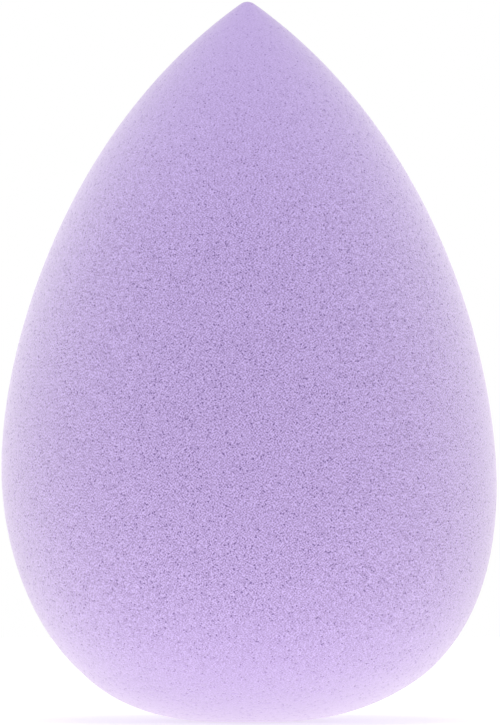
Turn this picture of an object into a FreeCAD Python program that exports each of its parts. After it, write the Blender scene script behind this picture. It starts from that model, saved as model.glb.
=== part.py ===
import FreeCAD, Part
import math
import os
import Sketcher

# A teardrop makeup sponge: one moulded piece of open-cell foam, round about the Z axis.
# The origin is the middle of the small flat that it stands on, and +Z runs up through the tip.
# Lengths are in millimetres and angles in degrees.
SIZES = {
    # The whole sponge, and the height of its widest part above the surface that it stands on
    "total_height": 60,
    "belly_diameter": 41.3,
    "belly_height": 20.4,
    # The flat underneath, and the slope at which the crowned underside leaves it
    "base_flat_diameter": 8,
    "base_edge_angle": 4,
    # How far inside the belly's radius the underside's slope line ends
    "shoulder_inset": 2.9,
    # How far the side's upright line reaches below and above the belly
    "under_belly_reach": 7.35,
    "over_belly_reach": 9.7,
    # How far inside the belly's radius the tip's slope line ends
    "flank_inset": 4.8,
    # The cone that the flank closes to, measured from the axis, and the rounded tip
    "tip_half_angle": 54.4,
    "tip_radius": 1,
}

doc = FreeCAD.newDocument("makeup_sponge")
sheet = doc.addObject("Spreadsheet::Sheet", "sizes")
for row, (alias, size) in enumerate(SIZES.items(), start=1):
    sheet.set(f"A{row}", alias)
    sheet.set(f"B{row}", str(size))
    sheet.setAlias(f"B{row}", alias)
doc.recompute()


def measure(formula):
    """The number that a formula on the sheet comes to."""
    return float(sheet.evalExpression(formula))


def point(radius, height):
    """A point of the half outline, from the formulas for its radius and height."""
    return FreeCAD.Vector(measure(radius), measure(height), 0)


# Formulas for the half outline: radius is the distance from the axis, height is above the base
FLAT_RADIUS = "sizes.base_flat_diameter / 2"
BELLY_RADIUS = "sizes.belly_diameter / 2"
SHOULDER_RADIUS = f"{BELLY_RADIUS} - sizes.shoulder_inset"
SHOULDER_HEIGHT = f"({SHOULDER_RADIUS} - {FLAT_RADIUS}) * tan(sizes.base_edge_angle)"
TIP_CENTRE_HEIGHT = "sizes.total_height - sizes.tip_radius"
TIP_EDGE_RADIUS = "sizes.tip_radius * cos(sizes.tip_half_angle)"
TIP_EDGE_HEIGHT = f"{TIP_CENTRE_HEIGHT} + sizes.tip_radius * sin(sizes.tip_half_angle)"
FLANK_RADIUS = f"{BELLY_RADIUS} - sizes.flank_inset"
FLANK_HEIGHT = f"{TIP_EDGE_HEIGHT} - ({FLANK_RADIUS} - {TIP_EDGE_RADIUS}) / tan(sizes.tip_half_angle)"

# Poles of the two curves: the underside from the flat to the belly, the flank from the belly to the tip
UNDERSIDE = [
    (FLAT_RADIUS, "0"),
    (SHOULDER_RADIUS, SHOULDER_HEIGHT),
    (BELLY_RADIUS, "sizes.belly_height - sizes.under_belly_reach"),
    (BELLY_RADIUS, "sizes.belly_height"),
]
FLANK = [
    (BELLY_RADIUS, "sizes.belly_height"),
    (BELLY_RADIUS, "sizes.belly_height + sizes.over_belly_reach"),
    (FLANK_RADIUS, FLANK_HEIGHT),
    (TIP_EDGE_RADIUS, TIP_EDGE_HEIGHT),
]

# Numbers that stand for the origin and for a line's or curve's start, end and centre
ORIGIN = -1
START, END, CENTRE = range(1, 4)

# The foam body: its half outline, drawn on the upright plane, is turned once about the axis
body = doc.addObject("PartDesign::Body", "foam_body")
body.Label = "foam_body"
upright_plane = next(f for f in body.Origin.OriginFeatures if f.Role == "XZ_Plane")
outline = body.newObject("Sketcher::SketchObject", "half_outline")
outline.AttachmentSupport = [(upright_plane, "")]
outline.MapMode = "FlatFace"


def bind(name, kind, place, formula):
    """Adds a named size to the outline and ties it to the sheet."""
    number = outline.addConstraint(Sketcher.Constraint(kind, *place, measure(formula)))
    outline.renameConstraint(number, name)
    outline.setExpression(f"Constraints.{name}", formula)


def add_curve(poles):
    """Adds a cubic curve with these poles, and gives its number and the numbers of its poles."""
    cubic = Part.BezierCurve()
    cubic.setPoles([point(*pole) for pole in poles])
    curve = outline.addGeometry(cubic.toBSpline())
    first_pole = outline.GeometryCount
    outline.exposeInternalGeometry(curve)
    return curve, range(first_pole, first_pole + len(poles))


base_line = outline.addGeometry(Part.LineSegment(point("0", "0"), point(FLAT_RADIUS, "0")))
underside, underside_poles = add_curve(UNDERSIDE)
flank, flank_poles = add_curve(FLANK)
tip_circle = Part.Circle()
tip_circle.Center = point("0", TIP_CENTRE_HEIGHT)
tip_circle.Radius = measure("sizes.tip_radius")
tip_edge_turn = math.radians(measure("sizes.tip_half_angle"))
tip_top_turn = math.pi / 2
tip_arc = outline.addGeometry(Part.ArcOfCircle(tip_circle, tip_edge_turn, tip_top_turn))
axis_line = outline.addGeometry(Part.LineSegment(point("0", "sizes.total_height"), point("0", "0")))

# The outline is one closed loop, from the middle of the base round to the tip and down the axis
loop = [base_line, underside, flank, tip_arc, axis_line]
for here, following in zip(loop, loop[1:]):
    outline.addConstraint(Sketcher.Constraint("Coincident", here, END, following, START))
outline.addConstraint(Sketcher.Constraint("Coincident", axis_line, END, ORIGIN, START))
outline.addConstraint(Sketcher.Constraint("Coincident", base_line, START, ORIGIN, START))
outline.addConstraint(Sketcher.Constraint("Horizontal", base_line))
outline.addConstraint(Sketcher.Constraint("Vertical", axis_line))
outline.addConstraint(Sketcher.Constraint("PointOnObject", tip_arc, CENTRE, axis_line))

# Sizes of the flat, of the whole height and of each pole that the loop doesn't place already.
# The tip's arc follows from its two ends, because its centre is on the axis.
bind("flat_radius", "DistanceX", (base_line, START, base_line, END), FLAT_RADIUS)
bind("total_height", "DistanceY", (ORIGIN, START, axis_line, START), "sizes.total_height")
held_poles = {
    "shoulder": (underside_poles[1], UNDERSIDE[1]),
    "under_belly": (underside_poles[2], UNDERSIDE[2]),
    "belly": (underside_poles[3], UNDERSIDE[3]),
    "over_belly": (flank_poles[1], FLANK[1]),
    "flank": (flank_poles[2], FLANK[2]),
    "tip_edge": (flank_poles[3], FLANK[3]),
}
for name, (pole, (radius, height)) in held_poles.items():
    bind(f"{name}_radius", "DistanceX", (ORIGIN, START, pole, CENTRE), radius)
    bind(f"{name}_height", "DistanceY", (ORIGIN, START, pole, CENTRE), height)
doc.recompute()

FULL_TURN = 360
form = body.newObject("PartDesign::Revolution", "foam_form")
form.Profile = outline
form.ReferenceAxis = (outline, ["V_Axis"])
form.Angle = FULL_TURN
body.Placement = FreeCAD.Placement()
doc.recompute()

# Nothing is written unless every object came out whole
failed = [o.Name for o in doc.Objects if {"Invalid", "Error"} & set(o.State)]
if failed:
    raise RuntimeError(f"these objects failed: {failed}")
sub_parts = [body]
for sub_part in sub_parts:
    if sub_part.Shape.isNull() or not sub_part.Shape.isValid():
        raise RuntimeError(f"{sub_part.Label} has no valid shape")

os.makedirs("parts", exist_ok=True)
for sub_part in sub_parts:
    sub_part.Shape.exportStep(f"parts/{sub_part.Label}.step")
    box = sub_part.Shape.BoundBox
    print(sub_part.Label, f"{box.XLength:.3f} x {box.YLength:.3f} x {box.ZLength:.3f} mm,",
          f"{sub_part.Shape.Volume:.1f} mm3")
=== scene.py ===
import math

import bmesh
import bpy
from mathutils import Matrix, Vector
from mathutils.geometry import interpolate_bezier


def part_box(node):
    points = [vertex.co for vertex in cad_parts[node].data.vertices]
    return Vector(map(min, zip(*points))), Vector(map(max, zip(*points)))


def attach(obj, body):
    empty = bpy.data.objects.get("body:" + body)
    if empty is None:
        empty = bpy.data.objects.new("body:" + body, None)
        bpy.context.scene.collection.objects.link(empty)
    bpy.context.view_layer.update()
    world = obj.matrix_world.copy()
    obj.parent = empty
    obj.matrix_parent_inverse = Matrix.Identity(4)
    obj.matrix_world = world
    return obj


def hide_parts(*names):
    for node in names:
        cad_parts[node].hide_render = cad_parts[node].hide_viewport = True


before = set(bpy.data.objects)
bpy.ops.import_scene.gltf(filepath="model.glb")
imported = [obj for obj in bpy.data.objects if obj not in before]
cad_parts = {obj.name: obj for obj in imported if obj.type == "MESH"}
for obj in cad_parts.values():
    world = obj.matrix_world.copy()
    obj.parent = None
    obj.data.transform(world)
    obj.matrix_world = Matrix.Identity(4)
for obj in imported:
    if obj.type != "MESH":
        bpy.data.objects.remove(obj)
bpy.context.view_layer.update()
scene = bpy.context.scene
scene.view_settings.view_transform = "Standard"

# Foam body: the whole sponge, one teardrop of open-cell polyurethane foam with no seam, cover or core.
# It is foamed and cured in a closed mould, and stands on the small flat in the middle of its crowned
# underside. As it came out of the mould, its lower half stands a little to one side.
MM = 0.001
low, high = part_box("foam_body")
belly_radius = (high.x - low.x) / 2
belly_height = 20.4 * MM
flat_radius = 4 * MM
shoulder_inset = 2.9 * MM
shoulder_radius = belly_radius - shoulder_inset
underside_slope = math.radians(4)
shoulder_height = (shoulder_radius - flat_radius) * math.tan(underside_slope)
under_belly_reach = 7.35 * MM
over_belly_reach = 9.7 * MM
flank_inset = 4.8 * MM
flank_radius = belly_radius - flank_inset
tip_radius = 1 * MM
tip_half_angle = math.radians(54.4)
tip_edge_radius = tip_radius * math.cos(tip_half_angle)
tip_edge_height = high.z - tip_radius * (1 - math.sin(tip_half_angle))
flank_height = tip_edge_height - (flank_radius - tip_edge_radius) / math.tan(tip_half_angle)
tip_arc_reach = tip_radius * 4 / 3 * math.tan((math.pi / 2 - tip_half_angle) / 4)

# The half outline runs from the middle of the flat round the belly to the tip, in curves of four poles:
# the underside, the flank and the rounded tip
outline_curves = [
    [(flat_radius, 0), (shoulder_radius, shoulder_height),
     (belly_radius, belly_height - under_belly_reach), (belly_radius, belly_height)],
    [(belly_radius, belly_height), (belly_radius, belly_height + over_belly_reach),
     (flank_radius, flank_height), (tip_edge_radius, tip_edge_height)],
    [(tip_edge_radius, tip_edge_height),
     (tip_edge_radius - tip_arc_reach * math.sin(tip_half_angle),
      tip_edge_height + tip_arc_reach * math.cos(tip_half_angle)),
     (tip_arc_reach, high.z), (0, high.z)],
]
CURVE_POINTS = (60, 60, 6)
TURN_STEPS = 180
foam = bmesh.new()
half_outline = [foam.verts.new((0, 0, 0)), foam.verts.new((flat_radius / 2, 0, 0))]
for curve, count in zip(outline_curves, CURVE_POINTS):
    poles = [Vector((radius, 0, z)) for radius, z in curve]
    half_outline += [foam.verts.new(p) for p in interpolate_bezier(*poles, count)[:-1]]
half_outline.append(foam.verts.new((0, 0, high.z)))
outline_edges = [foam.edges.new(pair) for pair in zip(half_outline, half_outline[1:])]
bmesh.ops.spin(foam, geom=half_outline + outline_edges, cent=(0, 0, 0), axis=(0, 0, 1), dvec=(0, 0, 0),
               angle=math.tau, steps=TURN_STEPS, use_merge=True)
bmesh.ops.remove_doubles(foam, verts=foam.verts, dist=0.001 * MM)
bmesh.ops.recalc_face_normals(foam, faces=foam.faces)

# The lower half stands out towards +X, most just above the underside, and the flat stays in the middle
lean_by = 0.56 * MM
lean_height = 6 * MM
lean_spread = 12 * MM
flat_clear = 4 * MM
for v in foam.verts:
    fade = min(1, v.co.z / flat_clear)
    v.co.x += lean_by * fade * math.exp(-((v.co.z - lean_height) / lean_spread) ** 2)

foam_mesh = bpy.data.meshes.new("sponge_foam")
foam.to_mesh(foam_mesh)
foam.free()
sponge_foam = bpy.data.objects.new("sponge_foam", foam_mesh)
scene.collection.objects.link(sponge_foam)


def linear(colour):
    """An sRGB hex colour as linear red, green, blue and full opacity."""
    parts = [int(colour[i:i + 2], 16) / 255 for i in (1, 3, 5)]
    return [p / 12.92 if p <= 0.04045 else ((p + 0.055) / 1.055) ** 2.4 for p in parts] + [1]


def add(tree, kind, inputs=None, **settings):
    """Adds a node with its settings; each input, by name or number, is a value or the socket to link."""
    made = tree.nodes.new(kind)
    for name, value in settings.items():
        setattr(made, name, value)
    for name, value in (inputs or {}).items():
        if isinstance(value, bpy.types.NodeSocket):
            tree.links.new(value, made.inputs[name])
        else:
            made.inputs[name].default_value = value
    return made


def open_cells(tree, place, spacing, closed, wide_open):
    """Cells of this spacing, cut open by the surface: 1 in the middle of an opening, 0 on the walls."""
    cells = add(tree, "ShaderNodeTexVoronoi", {"Vector": place, "Scale": 1 / spacing})
    edge = {"From Min": wide_open / spacing, "From Max": closed / spacing, "To Min": 1.0, "To Max": 0.0,
            "Value": cells.outputs["Distance"]}
    return add(tree, "ShaderNodeMapRange", edge, interpolation_type="SMOOTHSTEP").outputs["Result"]


# The pores are real pits: the mesh is made of even small squares, and each wide pore sinks into it
PORE_SPACING = 0.36 * MM
PIT_MOUTH = 0.14 * MM
PIT_FLOOR = 0.02 * MM
PIT_DEPTH = 0.06 * MM
FOAM_SQUARE = 0.12 * MM
rounded = sponge_foam.modifiers.new("rounded", "SUBSURF")
rounded.levels = rounded.render_levels = 2
squares = sponge_foam.modifiers.new("even_squares", "REMESH")
squares.mode = "VOXEL"
squares.voxel_size = FOAM_SQUARE
pits = bpy.data.node_groups.new("foam_pits", "GeometryNodeTree")
pits.interface.new_socket("Geometry", in_out="INPUT", socket_type="NodeSocketGeometry")
pits.interface.new_socket("Geometry", in_out="OUTPUT", socket_type="NodeSocketGeometry")
whole = add(pits, "NodeGroupInput")
place = add(pits, "GeometryNodeInputPosition").outputs["Position"]
pit = open_cells(pits, place, spacing=PORE_SPACING, closed=PIT_MOUTH, wide_open=PIT_FLOOR)
depth = add(pits, "ShaderNodeMath", {0: pit, 1: -PIT_DEPTH}, operation="MULTIPLY")
outward = add(pits, "GeometryNodeInputNormal").outputs["Normal"]
sunk = add(pits, "ShaderNodeVectorMath", {0: outward, "Scale": depth.outputs[0]}, operation="SCALE")
pitted = add(pits, "GeometryNodeSetPosition", {"Geometry": whole.outputs["Geometry"],
                                               "Offset": sunk.outputs[0]})
add(pits, "NodeGroupOutput", {"Geometry": pitted.outputs["Geometry"]})
sponge_foam.modifiers.new("pits", "NODES").node_group = pits
finished = bpy.data.meshes.new_from_object(sponge_foam.evaluated_get(bpy.context.evaluated_depsgraph_get()))
sponge_foam.modifiers.clear()
sponge_foam.data = finished
finished.shade_smooth()

# Lilac open-cell polyurethane foam, moulded: dry and matt, paler at a slant where the cut cell walls catch
# the light, and peppered with pores whose darker colour is painted shade. Towards the tip and the foot
# the pores and the grain fade out and the colour turns a little lighter: painted light at both ends.
WALL_COLOUR = "#C8AFED"
# The pore colour is painted shade, darker where the pores sink in; the grain's tone also runs towards it
PORE_SHADE_AND_DARK_GRAIN_COLOUR = "#65468F"
PORE_MOUTH = 0.09 * MM
PORE_FLOOR = 0.03 * MM
GRAIN_SIZE = 0.12 * MM
# A shade of 0 is the wall's colour, and 1 the pore colour: painted shade in the pores and the dark end of
# the grain
WALL_SHADE = 0.34
PORE_SHADE = 1.0
GRAIN_SHADE = 1.35
# The foot and the tip are painted a little lighter than the body: painted light
FOOT_PAINTED_LIGHT_SHADE = 0.31
FOOT_PATTERN_STRENGTH = 0.25
FOOT_TOP = 12 * MM
TIP_PAINTED_LIGHT_SHADE = 0.24
TIP_PATTERN_STRENGTH = 0.2
TIP_START = 39.5 * MM
RELIEF = 0.03 * MM
lilac_foam = bpy.data.materials.new("lilac_open_cell_foam")
lilac_foam.use_nodes = True
tree = lilac_foam.node_tree
tree.nodes.clear()
place = add(tree, "ShaderNodeTexCoord").outputs["Object"]
# The pores are painted darker than the walls: painted shade in them, over the real pits
pore_shade_mask = open_cells(tree, place, spacing=PORE_SPACING, closed=PORE_MOUTH, wide_open=PORE_FLOOR)
shade = add(tree, "ShaderNodeMath", {0: pore_shade_mask, 1: PORE_SHADE, 2: WALL_SHADE},
            operation="MULTIPLY_ADD").outputs[0]

# The walls between the pores are a fine grain: noise, less what it is a grain away on all six sides, which
# leaves no larger patches in it
grain_shares = {(0, 0, 0): 1}
for side in (GRAIN_SIZE, -GRAIN_SIZE):
    grain_shares.update({(side, 0, 0): -1 / 6, (0, side, 0): -1 / 6, (0, 0, side): -1 / 6})
for offset, share in grain_shares.items():
    spot = add(tree, "ShaderNodeVectorMath", {0: place, 1: offset}, operation="ADD").outputs[0]
    grain = add(tree, "ShaderNodeTexNoise", {"Vector": spot, "Scale": 1 / GRAIN_SIZE, "Detail": 0.0})
    shade = add(tree, "ShaderNodeMath", {0: grain.outputs["Fac"], 1: share * GRAIN_SHADE, 2: shade},
                operation="MULTIPLY_ADD").outputs[0]
# Towards the foot and the tip the pattern fades and the shade runs to a lighter value: painted light there
rise = add(tree, "ShaderNodeSeparateXYZ", {0: place}).outputs["Z"]
foot = {"Value": rise, "From Min": 0.0, "From Max": FOOT_TOP, "To Min": FOOT_PATTERN_STRENGTH, "To Max": 1.0}
tip = {"Value": rise, "From Min": TIP_START, "From Max": high.z, "To Min": 1.0, "To Max": TIP_PATTERN_STRENGTH}
for reach, painted_light_shade in ((foot, FOOT_PAINTED_LIGHT_SHADE), (tip, TIP_PAINTED_LIGHT_SHADE)):
    pattern_strength = add(tree, "ShaderNodeMapRange", reach).outputs[0]
    shade = add(tree, "ShaderNodeMix", {0: pattern_strength, 2: painted_light_shade, 3: shade}).outputs[0]
colour = add(tree, "ShaderNodeMix", {0: shade, 6: linear(WALL_COLOUR), 7: linear(PORE_SHADE_AND_DARK_GRAIN_COLOUR)},
             data_type="RGBA")
roughness = add(tree, "ShaderNodeMapRange", {"Value": shade, "To Min": 0.85, "To Max": 1.0})
relief = add(tree, "ShaderNodeBump", {"Height": shade, "Distance": RELIEF, "Strength": 0.3}, invert=True)
foam_shader = add(tree, "ShaderNodeBsdfPrincipled", {
    "Base Color": colour.outputs[2], "Roughness": roughness.outputs[0], "Normal": relief.outputs[0],
    "Specular IOR Level": 0.2,
    "Sheen Weight": 0.96, "Sheen Roughness": 0.6, "Sheen Tint": linear("#F2EBF9")})
add(tree, "ShaderNodeOutputMaterial", {"Surface": foam_shader.outputs[0]})
finished.materials.clear()
finished.materials.append(lilac_foam)
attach(sponge_foam, "root")
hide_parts("foam_body")

# Table: a sheet of white paper on a light box, which the sponge stands on and which fills the view behind.
# The paper lets light through from below, dimmed round the foot as a painted shadow that also takes light
# off the sponge's underside, and looks dimmer to the camera, so that the shadow stays in it.
TABLE_HALF = 0.3
GLOW = 1.01
GLOW_SEEN = 0.57
# The glow is dimmed within these radii of the foot: a painted shadow on the paper
PAINTED_SHADOW_CORE_RADIUS = 4 * MM
PAINTED_SHADOW_EDGE_RADIUS = 14 * MM
PAINTED_SHADOW_GLOW = 0.82
table_mesh = bpy.data.meshes.new("table")
table = bmesh.new()
bmesh.ops.create_grid(table, x_segments=1, y_segments=1, size=TABLE_HALF)
table.to_mesh(table_mesh)
table.free()
white_table = bpy.data.objects.new("white_table", table_mesh)
scene.collection.objects.link(white_table)
paper = bpy.data.materials.new("white_paper")
paper.use_nodes = True
tree = paper.node_tree
tree.nodes.clear()
ray = add(tree, "ShaderNodeLightPath")
strength = add(tree, "ShaderNodeMapRange", {"Value": ray.outputs["Is Camera Ray"],
                                            "To Min": GLOW, "To Max": GLOW_SEEN})
place = add(tree, "ShaderNodeTexCoord").outputs["Object"]
from_foot = add(tree, "ShaderNodeVectorMath", {0: place}, operation="LENGTH").outputs["Value"]
# A painted shadow: the glow is dimmer near the foot, for the camera and for the light on the sponge
painted_shadow_ramp = {"Value": from_foot, "From Min": PAINTED_SHADOW_CORE_RADIUS, "From Max": PAINTED_SHADOW_EDGE_RADIUS,
         "To Min": PAINTED_SHADOW_GLOW, "To Max": 1.0}
painted_shadow = add(tree, "ShaderNodeMapRange", painted_shadow_ramp)
strength = add(tree, "ShaderNodeMath", {0: strength.outputs[0], 1: painted_shadow.outputs[0]},
               operation="MULTIPLY")
tint = add(tree, "ShaderNodeMix", {0: ray.outputs["Is Camera Ray"], 6: linear("#FBFFE7"),
                                   7: linear("#FFFFFF")}, data_type="RGBA")
glow = add(tree, "ShaderNodeEmission", {"Color": tint.outputs[2], "Strength": strength.outputs[0]})
sheet = add(tree, "ShaderNodeBsdfDiffuse", {"Color": linear("#CFCFCF")})
lit = add(tree, "ShaderNodeAddShader", {0: sheet.outputs[0], 1: glow.outputs[0]})
add(tree, "ShaderNodeOutputMaterial", {"Surface": lit.outputs[0]})
table_mesh.materials.append(paper)

# Studio light: a white room, a soft box at each side and one overhead, a little in front of the sponge.
ROOM_LIGHT = 0.507
world = bpy.data.worlds.new("studio")
scene.world = world
world.use_nodes = True
tree = world.node_tree
tree.nodes.clear()
ray = add(tree, "ShaderNodeLightPath")
seen = ray.outputs["Is Camera Ray"]
for kind in ("Is Glossy Ray", "Is Transmission Ray"):
    seen = add(tree, "ShaderNodeMath", {0: seen, 1: ray.outputs[kind]}, operation="MAXIMUM").outputs[0]
strength = add(tree, "ShaderNodeMapRange", {"Value": seen, "To Min": ROOM_LIGHT, "To Max": 1.0})
room = add(tree, "ShaderNodeBackground", {"Color": linear("#FFFFFF"), "Strength": strength.outputs[0]})
add(tree, "ShaderNodeOutputWorld", {"Surface": room.outputs[0]})

SOFT_BOX = 0.6
SPONGE_MIDDLE = Vector((0, 0, 0.03))
LAMPS = {
    "left_box": ((-0.7, 0, 0.25), 0.32),
    "right_box": ((0.7, 0, 0.25), 0.254),
    "top_box": ((0, -0.1, 0.7), 2.54),
}
for name, (spot, radiance) in LAMPS.items():
    lamp = bpy.data.lights.new(name, "AREA")
    lamp.size = SOFT_BOX
    lamp.energy = radiance * math.pi * SOFT_BOX ** 2
    box = bpy.data.objects.new(name, lamp)
    box.location = spot
    box.rotation_euler = (SPONGE_MIDDLE - Vector(spot)).to_track_quat("-Z", "Y").to_euler()
    box.visible_camera = False
    scene.collection.objects.link(box)

# Camera: level with the middle of the sponge, far enough back to see it almost without perspective
CAMERA_DISTANCE = 1
VIEW_HEIGHT = 60.47 * MM
VIEW_X = 0.21 * MM
VIEW_Z = 29.9 * MM
SENSOR = 36
camera_data = bpy.data.cameras.new("camera")
camera_data.sensor_width = SENSOR
camera_data.lens = SENSOR * CAMERA_DISTANCE / VIEW_HEIGHT
camera_data.clip_start = 0.01
camera = bpy.data.objects.new("camera", camera_data)
camera.location = (VIEW_X, -CAMERA_DISTANCE, VIEW_Z)
camera.rotation_euler = (math.pi / 2, 0, 0)
scene.collection.objects.link(camera)
scene.camera = camera
